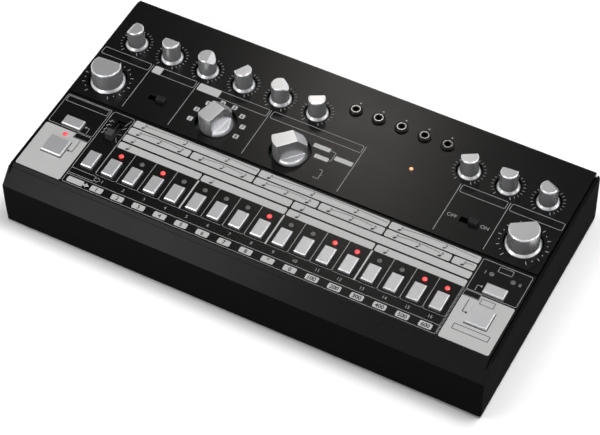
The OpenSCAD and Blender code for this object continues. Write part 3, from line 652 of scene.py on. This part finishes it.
def path(bm, points, line=0.32):
    """A line through several points, each bend run half a line width too far to close it."""
    for a, b in zip(points, points[1:]):
        step = (Vector(b) - Vector(a)).normalized() * line / 2
        stroke(bm, Vector(a) - step, Vector(b) + step, line)


# %% [markdown]
# ## Key cells
# A thin line frames each step key. The cells are drawn taller than they are and then cut
# off below the note bars by a plane, which leaves them open at the top. A long box for the
# values closes them at the bottom, a frame for the four-way switch at the left, and a
# ladder of short strokes at the right.

# %% Key cells
CELL_BOTTOM, CELL_TOP, CELL_CUT = -52.9, -27, -29.75
CELL_GAP, CELL_CORNER, CELL_LINE = 0.01, 1.3, 0.18
VALUE_BOX = (-118.6, 117.8, -65.5, -59.0, 1.3)      # left, right, bottom, top, corner
SWITCH_FRAME = [(-118.44, -60), (-118.44, -8.1), (-117.3, -6.96), (-105.2, -6.96),
                (-104, -8.1), (-104, -51.5)]
RUNGS, RUNG_START, RUNG_END, RUNG_LINE = 36, (117.0, -64.9), (118.5, -64.3), 0.26

bm = bmesh.new()
for k in range(KEYS):
    outline(bm, divider(k) + CELL_GAP, divider(k + 1) - CELL_GAP, CELL_BOTTOM, CELL_TOP,
            CELL_CORNER, CELL_LINE)
bmesh.ops.bisect_plane(bm, geom=bm.verts[:] + bm.edges[:] + bm.faces[:],
                       plane_co=(0, CELL_CUT, 0), plane_no=(0, 1, 0), clear_outer=True)
outline(bm, *VALUE_BOX)
path(bm, SWITCH_FRAME)
for i in range(RUNGS):
    stroke(bm, (RUNG_START[0], RUNG_START[1] + i), (RUNG_END[0], RUNG_END[1] + i), RUNG_LINE)
printed(bm, "cell_lines", Z_KEY, INK_LINE)

# %% [markdown]
# ## Beat lines
# A thick pale line follows every fourth key, so that the beats can be counted at a glance.
# It runs over the thin lines of the cells. Two films of the same height would flicker where
# they cross, so this one is a hundredth of a millimetre thicker.

# %% Beat lines
BEAT_TOP, BEAT_LINE = -30.1, 0.95
bm = bmesh.new()
for k in (4, 8, 12):
    stroke(bm, (divider(k), BEAT_TOP), (divider(k), CELL_BOTTOM), BEAT_LINE)
printed(bm, "beat_lines", Z_KEY, INK, THICK)

# %% [markdown]
# ## Step numbers
# Each key has its number below it. Digits could be built from strokes, but Blender has a
# font built in. A text object is turned into a mesh, scaled by its own height and centred,
# so every number sits where it should, whatever its width.

# %% Step numbers
NUMBER_Y, NUMBER_HEIGHT = -56.0, 2.1
GROUPS = (("I", 123.9), ("II", 144.6))
GROUP_Y, GROUP_HEIGHT = -15.1, 2.2


def characters(bm, body, x, y, height, bold=0.0):
    """Letters or digits of the built-in font, centred on x, y."""
    curve = bpy.data.curves.new("characters", "FONT")
    curve.body = body
    curve.offset = bold
    holder = bpy.data.objects.new("characters", curve)
    mesh = bpy.data.meshes.new_from_object(holder)
    low = [min(v.co[i] for v in mesh.vertices) for i in range(2)]
    high = [max(v.co[i] for v in mesh.vertices) for i in range(2)]
    scale = height / (high[1] - low[1])
    centred = Matrix.Translation((-(low[0] + high[0]) / 2, -(low[1] + high[1]) / 2, 0))
    mesh.transform(place(x, y, scale, scale) @ centred)
    bm.from_mesh(mesh)
    bpy.data.objects.remove(holder)
    bpy.data.curves.remove(curve)
    bpy.data.meshes.remove(mesh)


bm = bmesh.new()
for i in range(1, KEYS + 1):
    characters(bm, str(i), key_x(i), NUMBER_Y, NUMBER_HEIGHT)
for body, x in GROUPS:
    characters(bm, body, x, GROUP_Y, GROUP_HEIGHT)
printed(bm, "step_numbers", Z_KEY, INK_LINE)

# %% [markdown]
# ## Value pills
# In the long box below the keys, a pale pill shows the value that each key can enter. The
# function key has a longer one, with an arrow that points along the row. The values are
# black print on the pale film, so they are a second, thinner film on top of the first.
# Cutting them out of the pills would show the panel's black too, but with far more faces.

# %% Value pills
PILL_BOTTOM, PILL_TOP, PILL_MIDDLE = -64.3, -60.4, -62.35
PILL_HALF, PILL_CORNER = 3.9, 0.8
LONG_PILL = (-116.4, -105.9)
ARROW_TAIL, ARROW_END, ARROW_LINE = -106, -104.2, 1.2
ARROW_HEAD_X, ARROW_HEAD = -103.6, (3.6, 3.2)
VALUES = ["1", "2", "3", "4", "5", "6", "7", "8", "9", "0", "100", "200", "300", "400", "500",
          "600"]
VALUE_HEIGHT, BOLD = 2.7, 0.03

bm = bmesh.new()
for i in range(1, KEYS + 1):
    plate(bm, key_x(i) - PILL_HALF, key_x(i) + PILL_HALF, PILL_BOTTOM, PILL_TOP, PILL_CORNER)
plate(bm, *LONG_PILL, PILL_BOTTOM, PILL_TOP, PILL_CORNER)
stroke(bm, (ARROW_TAIL, PILL_MIDDLE), (ARROW_END, PILL_MIDDLE), ARROW_LINE)
dot(bm, ARROW_HEAD_X, PILL_MIDDLE, *ARROW_HEAD, turn=-90, segments=3)
printed(bm, "value_pills", Z_KEY, INK)

bm = bmesh.new()
for i, value in enumerate(VALUES, 1):
    characters(bm, value, key_x(i), PILL_MIDDLE, VALUE_HEIGHT, BOLD)
printed(bm, "value_numbers", Z_KEY + FILM, INK_DARK, OVER)

# %% [markdown]
# ## Fields around the side keys
# The start key and the tap key sit in solid pale fields, the clear key and the group key
# in framed ones. The fields could be drawn as four strips around each key. It is simpler to
# draw them whole and punch the openings, which take their places from the CAD keys.

# %% Side fields
START_FIELD = (-149.6, -119.8, -65.8, -31.3, 1.2)      # left, right, bottom, top, corner
TAP_FIELD = (119.1, 149.1, -65.7, -31.1, 1.2)
NOTCHES = [(-129.8, -119, -34.9, -31), (119, 129, -34.7, -31)]
BIG_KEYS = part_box("start_stop_button"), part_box("tap_button")
UNDER_KEY = 0.3          # the film ends this far under the edge of a key


def punch(bm, x0, x1, y0, y1):
    """Cuts a rectangular opening into everything drawn so far."""
    for point, normal in (((x0, 0, 0), (1, 0, 0)), ((x1, 0, 0), (1, 0, 0)),
                          ((0, y0, 0), (0, 1, 0)), ((0, y1, 0), (0, 1, 0))):
        bmesh.ops.bisect_plane(bm, geom=bm.verts[:] + bm.edges[:] + bm.faces[:],
                               plane_co=point, plane_no=normal)
    inside = [f for f in bm.faces if x0 < f.calc_center_median().x < x1
              and y0 < f.calc_center_median().y < y1]
    bmesh.ops.delete(bm, geom=inside, context="FACES")


bm = bmesh.new()
plate(bm, *START_FIELD)
plate(bm, *TAP_FIELD)
for low, high in BIG_KEYS:
    punch(bm, low.x / MM + UNDER_KEY, high.x / MM - UNDER_KEY,
          low.y / MM + UNDER_KEY, high.y / MM - UNDER_KEY)
for notch in NOTCHES:
    punch(bm, *notch)
printed(bm, "side_fields", Z_KEY, INK)

# %% [markdown]
# ## Frames and leaders
# Thin frames surround the clear and the group key and the two notches, and a leader with a
# dot at its end joins each key to the box of its label. The boxes stay empty. Each frame
# could have its own line of code, but a table keeps the numbers apart from the drawing.

# %% Side frames
# Each frame: left, right, bottom, top, corner and, if not the usual 0.3, line width.
SIDE_FRAMES = [
    (-149.6, -119.6, -30.1, -6.9, 1.2), (-148.6, -120.7, -12.2, -7.7, 0.6),
    (119.1, 149.1, -30.1, -6.9, 1.2), (129.7, 138.2, -12.0, -8.1, 0.2),
    (-129.6, -119.6, -34.5, -30.6, 0.3, 0.26), (119.1, 128.8, -34.4, -30.4, 0.3, 0.26),
    (-118.5, -101.9, -58.1, -54.0, 0.4),
]
FRAME_ARROW = [(-101.9, -55.0), (-100.6, -55.0), (-100.6, -54.3), (-98.4, -56.05),
               (-100.6, -57.8), (-100.6, -57.1), (-101.9, -57.1)]
ARROW_OUTLINE = 0.28
LEADERS = [[(-126.2, -25.1), (-124.3, -25.1), (-124.3, -28.8)],
           [(125.9, -25.1), (123.9, -25.1), (123.9, -29)]]
LEADER_DOTS, LEADER_DOT = [(-126.6, -25.1), (126.2, -25.1)], 1.3

bm = bmesh.new()
for box in SIDE_FRAMES:
    outline(bm, *box)
path(bm, FRAME_ARROW, ARROW_OUTLINE)
for points in LEADERS:
    path(bm, points)
for x, y in LEADER_DOTS:
    dot(bm, x, y, LEADER_DOT)
printed(bm, "side_frames", Z_KEY, INK_LINE)

# %% [markdown]
# ## Black marks on the fields
# On the pale fields the same kinds of marks are black. They could be cut out of the fields,
# like the openings for the keys, but a second film is simpler. It starts at the top of the
# first one and is thinner.

# %% Black marks on the side fields
FIELD_LEADERS = [[(-124.3, -35.6), (-124.3, -44.7), (-126.6, -44.7)],
                 [(123.9, -35.9), (123.9, -44.9), (125.9, -44.9)]]
FIELD_DOTS, FIELD_DOT = [(-126.8, -44.7), (126.1, -44.9)], 1.4
FIELD_FRAMES = [(129.9, 138.4, -36.6, -32.4, 0.2, 0.42), (123.4, 145, -57.9, -53.8, 0.2, 0.42)]
FIELD_LINE = 0.48

bm = bmesh.new()
for points in FIELD_LEADERS:
    path(bm, points, FIELD_LINE)
for x, y in FIELD_DOTS:
    dot(bm, x, y, FIELD_DOT)
for box in FIELD_FRAMES:
    outline(bm, *box)
printed(bm, "side_marks", Z_KEY + FILM, INK_DARK, OVER)

# %% [markdown]
# ## Marks beside the four-way switch
# Four fine lines lead from the stops of the switch to the four rows of note bars, and a
# small note stands beside each stop. They reuse the note of the bars at half its size, so
# the two sets of signs match.

# %% Switch marks
FINE_LINE = 0.3
FAN = [((-106.9, -14.1), (-105.5, -8.8)), ((-107.3, -17), (-105.3, -15)),
       ((-107.3, -21.3), (-105.3, -20.6)), ((-107.3, -23.8), (-105.3, -27))]
STOP_YS = (-13.8, -17.0, -20.2, -22.9)
FLAGGED_ABOVE = -18      # the two upper notes have a flag
STOP_NOTE_X, STOP_NOTE_DROP, STOP_NOTE_SIZE = -116.6, 0.8, 0.55
DASH_FROM, DASH_TO = -115.2, -114.4

bm = bmesh.new()
for start, end in FAN:
    stroke(bm, start, end, FINE_LINE)
for y in STOP_YS:
    note(bm, STOP_NOTE_X, y - STOP_NOTE_DROP, y > FLAGGED_ABOVE, STOP_NOTE_SIZE)
    stroke(bm, (DASH_FROM, y), (DASH_TO, y), FINE_LINE)
printed(bm, "scale_marks", Z_KEY, INK_LINE)

# %% [markdown]
# ## Control panel: sections and labels
# Upright lines part the control panel into sections, and a rounded box heads each one.
# The boxes are drawn empty. Brackets join the pills of the mode selector, a dot marks each
# socket, and the two ends of the right-hand switch say what they do. Only these two words
# are set, in the built-in font.

# %% Sections
SECTION_XS = (-115.9, -85.0, -36.3, 25.4, 85.5, 116.3)
SECTION_BOTTOM, SECTION_TOP, SECTION_LINE = -2.4, 34.6, 0.36
HEADS = [(-149.3, -116.9), (-114.4, -86.0), (-83.7, -37.2), (-34.9, 24.4), (86.6, 115.1),
         (117.4, 149.8)]
HEAD_BOTTOM, HEAD_TOP, HEAD_CORNER = 28.9, 34.6, 1.1
# Each bracket: its own line and the short stroke that leads away from it.
BRACKETS = [([(8.4, 22.6), (12.07, 22.6), (12.07, 15.6), (10.6, 15.6)],
             ((12.07, 19.0), (13.1, 19.0))),
            ([(9.4, 7.6), (11.4, 7.6), (11.4, 0.9), (8.4, 0.9)], ((11.4, 4.2), (12.6, 4.2)))]
BRACKET_LINE = 0.34
JACKS, JACK_LEFT, JACK_PITCH = 5, 7.45, 14.75
JACK_DOT_Y, JACK_DOT = 62.9, 1.1
SWITCH_WORDS, WORD_Y, WORD_HEIGHT = (("OFF", 90.6), ("ON", 110.7)), 11.7, 2.4


def jack_x(i):
    """Centre of small socket i on the control panel, counted from 0."""
    return JACK_LEFT + JACK_PITCH * i


bm = bmesh.new()
for x in SECTION_XS:
    stroke(bm, (x, SECTION_BOTTOM), (x, SECTION_TOP), SECTION_LINE)
for x0, x1 in HEADS:
    outline(bm, x0, x1, HEAD_BOTTOM, HEAD_TOP, HEAD_CORNER)
for bracket, (start, end) in BRACKETS:
    path(bm, bracket, BRACKET_LINE)
    stroke(bm, start, end, BRACKET_LINE)
for i in range(JACKS):
    dot(bm, jack_x(i), JACK_DOT_Y, JACK_DOT)
for body, x in SWITCH_WORDS:
    characters(bm, body, x, WORD_Y, WORD_HEIGHT)
printed(bm, "section_lines", Z_CTL, INK_LINE)

# %% [markdown]
# ## Pills on the control panel
# Solid pills fill the left end of two heads and stand beside the mode selector. Around the
# instrument selector, eight small ones carry the plain numbers of its stops. They could be
# set by angle and radius, but the printed ring isn't quite round, so they are listed.

# %% Pills on the control panel
TRACKS = [(-75.9, 7.6), (-75.9, 15.6), (-71.9, 22.6), (-64.6, 26.6), (-56.6, 26.6),
          (-49.5, 22.6), (-45.4, 15.6), (-45.4, 7.6)]
TRACK_HALF, TRACK_CORNER, TRACK_HEIGHT = 1.6, 0.6, 2.3
# Each pill: left, right, bottom, top and corner.
CONTROL_PILLS = [
    (-114.6, -108.7, HEAD_BOTTOM, HEAD_TOP, 1.0), (-83.9, -69.4, HEAD_BOTTOM, HEAD_TOP, 1.0),
    (-2.4, 8.4, 21.1, 24.1, 0.5), (1.7, 10.6, 14.2, 17.1, 0.5), (13.1, 24.4, 17.4, 20.6, 0.5),
]

bm = bmesh.new()
for pill in CONTROL_PILLS:
    plate(bm, *pill)
for x, y in TRACKS:
    plate(bm, x - TRACK_HALF, x + TRACK_HALF, y - TRACK_HALF, y + TRACK_HALF, TRACK_CORNER)
printed(bm, "control_pills", Z_CTL, INK, THICK)

bm = bmesh.new()
for i, (x, y) in enumerate(TRACKS, 1):
    characters(bm, str(i), x, y, TRACK_HEIGHT, BOLD)
printed(bm, "track_numbers", Z_CTL + THICK, INK_DARK, OVER)

# %% [markdown]
# ## Scales around the knobs
# Every knob turns over 300 degrees. The small ones have a tick each 15 degrees, the two
# large ones long ticks each 30 degrees with a dot between them. An array modifier could
# turn one tick around, but the first and the last are longer, so a loop is plainer.

# %% Knob scales
SMALL_ROW, DIAL_ROW = 45.45, 11.9
SMALL_COLUMNS, DIAL_COLUMNS = (0, 1, 2, 3, 4, 5, 9, 10, 11), (0, 11)
FIRST_ANGLE, SMALL_STEP, DIAL_STEP = 240, 15, 30
SMALL_TICKS, DIAL_TICKS = 21, 11
SMALL_INNER, SMALL_OUTER, SMALL_END = 8.6, 9.9, 10.6
SMALL_LINE, SMALL_END_LINE = 0.26, 0.36
DIAL_INNER, DIAL_OUTER, DIAL_END, DIAL_LINE = 13.3, 15.2, 15.6, 0.42
DIAL_DOT_RADIUS, DIAL_DOT = 13.7, 0.7


def tick(bm, x, y, angle, r0, r1, line):
    """A line that points away from x, y, from radius r0 to r1."""
    out = Vector((math.cos(math.radians(angle)), math.sin(math.radians(angle))))
    stroke(bm, Vector((x, y)) + out * r0, Vector((x, y)) + out * r1, line)


bm = bmesh.new()
for k in SMALL_COLUMNS:
    for step in range(SMALL_TICKS):
        end = step in (0, SMALL_TICKS - 1)
        tick(bm, col_x(k), SMALL_ROW, FIRST_ANGLE - SMALL_STEP * step, SMALL_INNER,
             SMALL_END if end else SMALL_OUTER, SMALL_END_LINE if end else SMALL_LINE)
printed(bm, "small_scales", Z_CTL, INK_LINE)

bm = bmesh.new()
for k in DIAL_COLUMNS:
    for step in range(DIAL_TICKS):
        end = step in (0, DIAL_TICKS - 1)
        tick(bm, col_x(k), DIAL_ROW, FIRST_ANGLE - DIAL_STEP * step, DIAL_INNER,
             DIAL_END if end else DIAL_OUTER, DIAL_LINE)
    for step in range(DIAL_TICKS - 1):
        angle = math.radians(FIRST_ANGLE - DIAL_STEP / 2 - DIAL_STEP * step)
        dot(bm, col_x(k) + DIAL_DOT_RADIUS * math.cos(angle),
            DIAL_ROW + DIAL_DOT_RADIUS * math.sin(angle), DIAL_DOT)
printed(bm, "large_scales", Z_CTL, INK_LINE)

# %% [markdown]
# ## Lamp lenses
# Each lamp is a small domed lens on a barrel that goes through the panel. A UV sphere cut
# in half would give the dome. Spinning a quarter of an ellipse gives dome and barrel in one
# piece, and the UV can keep how far each point lies from the axis, for the glow later on.

# %% Lamp lenses
LENS_FOOT, LENS_RISE, BARREL = 0.1, 0.4, 6
LENS_STEPS, LENS_TURN_STEPS = 6, 24
WELD = 1e-4


def spun(bm, x, y, points, steps, closed=False):
    """Turns an outline of radius and height around the upright axis through x, y."""
    verts = [bm.verts.new((x + r, y, z)) for r, z in points]
    ends = verts[1:] + verts[:1] if closed else verts[1:]
    edges = [bm.edges.new(pair) for pair in zip(verts, ends)]
    bmesh.ops.spin(bm, geom=verts + edges, cent=(x, y, 0), axis=(0, 0, 1), angle=2 * math.pi,
                   steps=steps, use_merge=True)


def lens(bm, x, y, level, radius):
    """A shallow dome on a short barrel; its UV says how far a point is from the axis."""
    angles = [math.pi / 2 * i / LENS_STEPS for i in range(LENS_STEPS + 1)]
    dome = [(radius * math.sin(a), level + LENS_FOOT + LENS_RISE * math.cos(a)) for a in angles]
    spun(bm, x, y, dome + [(radius, level - BARREL)], LENS_TURN_STEPS)
    uv = bm.loops.layers.uv.verify()
    for face in bm.faces:
        for loop in face.loops:
            away = (Vector(loop.vert.co[:2]) - Vector((x, y))).length
            if away < radius * 1.01:      # a loop of this lens, not of one made before
                loop[uv].uv = (away / radius, 0)


def lamps(name, places, level, radius, glow, *replaced):
    """Lenses of one colour as one object, in place of CAD nodes."""
    bm = bmesh.new()
    for x, y in places:
        lens(bm, x, y, level, radius)
    bmesh.ops.remove_doubles(bm, verts=bm.verts[:], dist=WELD)
    to_metres(bm)
    made = add_object(name, bm)
    made.data.shade_smooth()
    made.data.materials.append(glow)
    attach(made, "case")
    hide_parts(*replaced)
    print(name, len(places), "lenses")


print("dome, mm:", LENS_RISE, "high")

# %% [markdown]
# ## Lamp colours
# A lit lens is almost pink in the middle and deep red at its rim, because more of the light
# leaves the lens along its axis. A real light inside a glass lens would show that, but
# slowly and with noise. A colour ramp over the UV says it directly. An unlit lens is plain
# grey plastic.

# %% Lamp materials
RAMP_FROM = 0.35         # share of the radius that has the colour of the middle


def glowing(name, middle, rim):
    """A lens that shines, brightest near its axis."""
    mat, tree, shader = material(name, rim, roughness=0.2)
    uv = tree.nodes.new("ShaderNodeUVMap")
    split = tree.nodes.new("ShaderNodeSeparateXYZ")
    ramp = tree.nodes.new("ShaderNodeValToRGB")
    ramp.color_ramp.elements[0].position = RAMP_FROM
    ramp.color_ramp.elements[0].color = (*middle, 1)
    ramp.color_ramp.elements[1].position = 1.0
    ramp.color_ramp.elements[1].color = (*rim, 1)
    tree.links.new(uv.outputs["UV"], split.inputs["Vector"])
    tree.links.new(split.outputs["X"], ramp.inputs["Fac"])
    tree.links.new(ramp.outputs["Color"], shader.inputs["Emission Color"])
    shader.inputs["Emission Strength"].default_value = 1.0
    return mat


RED_GLOW = glowing("lamp_red_lit", (0.62, 0.11, 0.11), (0.55, 0.03, 0.028))
START_GLOW = glowing("start_lamp_lit", (0.55, 0.05, 0.062), (0.5, 0.035, 0.045))
ORANGE_GLOW = glowing("lamp_orange_lit", (0.72, 0.36, 0.2), (0.5, 0.24, 0.12))
UNLIT = moulded("lamp_unlit", (0.11, 0.108, 0.106), 0.4, grain=900, depth=0.003, edge=0.05,
                Specular_IOR_Level=0.2)
print("lamp colours:", [mat.name for mat in (RED_GLOW, START_GLOW, ORANGE_GLOW, UNLIT)])

# %% [markdown]
# ## Lamps in their places
# Sixteen step lamps stand above their keys. Seven of them are lit, and so are the start
# lamp and the small orange one, as on a machine with a pattern loaded. One object could
# hold all of them with a material per face. Here each kind is an object of its own, which
# is easier to change, and they take the place of the plain solids of the CAD model.

# %% Lamps
LAMP_R, SYNC_R = 1.5, 1.2
LIT = (1, 3, 8, 11, 12, 15, 16)
LAMP_ROW = -34.7
START_LAMP = (-134.95, LAMP_ROW)
GROUP_LAMPS = [(127.6, -15.1), (140.45, -15.1)]
SYNC_LAMP = (55.5, 31.6)
lit_places = [(key_x(i), LAMP_ROW) for i in LIT]
dark_places = [(key_x(i), LAMP_ROW) for i in range(1, KEYS + 1) if i not in LIT]
lamps("step_lamps_lit", lit_places, Z_KEY, LAMP_R, RED_GLOW, "step_lamps")
lamps("step_lamps_dark", dark_places, Z_KEY, LAMP_R, UNLIT, "step_lamps")
lamps("start_lamp_lit", [START_LAMP], Z_KEY, LAMP_R, START_GLOW, "status_lamps")
lamps("group_lamps_dark", GROUP_LAMPS, Z_KEY, LAMP_R, UNLIT, "status_lamps")
lamps("sync_lamp_lit", [SYNC_LAMP], Z_CTL, SYNC_R, ORANGE_GLOW, "status_lamps")

# %% [markdown]
# ## Light of the lamps
# The lit lenses also tint the panel around them. Their own emission could do that, but a
# mesh this small gives noisy light, so a weak point light just above each lens carries it.

# %% Lamp glow
RED, ORANGE = (1, 0.06, 0.04), (1, 0.5, 0.3)
STEP_WATTS, START_WATTS, SYNC_WATTS = 0.00011, 0.00004, 0.00007
GLOW_ABOVE, GLOW_RADIUS = 1.6, 0.8
GLOWS = [(p, Z_KEY, RED, STEP_WATTS) for p in lit_places]
GLOWS += [(START_LAMP, Z_KEY, RED, START_WATTS), (SYNC_LAMP, Z_CTL, ORANGE, SYNC_WATTS)]
for (x, y), level, colour, power in GLOWS:
    data = bpy.data.lights.new("lamp_glow", "POINT")
    data.energy = power
    data.color = colour
    data.shadow_soft_size = GLOW_RADIUS * MM
    glow = bpy.data.objects.new("lamp_glow", data)
    glow.location = (x * MM, y * MM, (level + GLOW_ABOVE) * MM)
    bpy.context.scene.collection.objects.link(glow)
print("glows:", len(GLOWS))

# %% [markdown]
# ## Socket rims
# The mouth of each small socket on the control panel is a bright turned ring inside the
# black nut. A torus would be quicker, but a turned ring has flat faces and two chamfers,
# and they are what glints. So it is spun from a short outline, as a lathe would cut it.

# %% Socket rims
JACK_ROW = 56.5
RIM_FOOT, RIM_STEPS = 1.5, 40
# Radius and height above the foot of the ring, once around its cross-section.
RIM_OUTLINE = [(2.3, 0), (2.3, 0.25), (2.42, 0.4), (2.68, 0.4), (2.88, 0.2), (2.88, 0)]

bm = bmesh.new()
for i in range(JACKS):
    foot = Z_CTL + RIM_FOOT
    points = [(radius, foot + height) for radius, height in RIM_OUTLINE]
    spun(bm, jack_x(i), JACK_ROW, points, RIM_STEPS, closed=True)
bmesh.ops.remove_doubles(bm, verts=bm.verts[:], dist=WELD)
to_metres(bm)
rims = add_object("socket_rims", bm)
rims.data.materials.append(RIM)
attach(rims, "case")
print("rims:", JACKS)
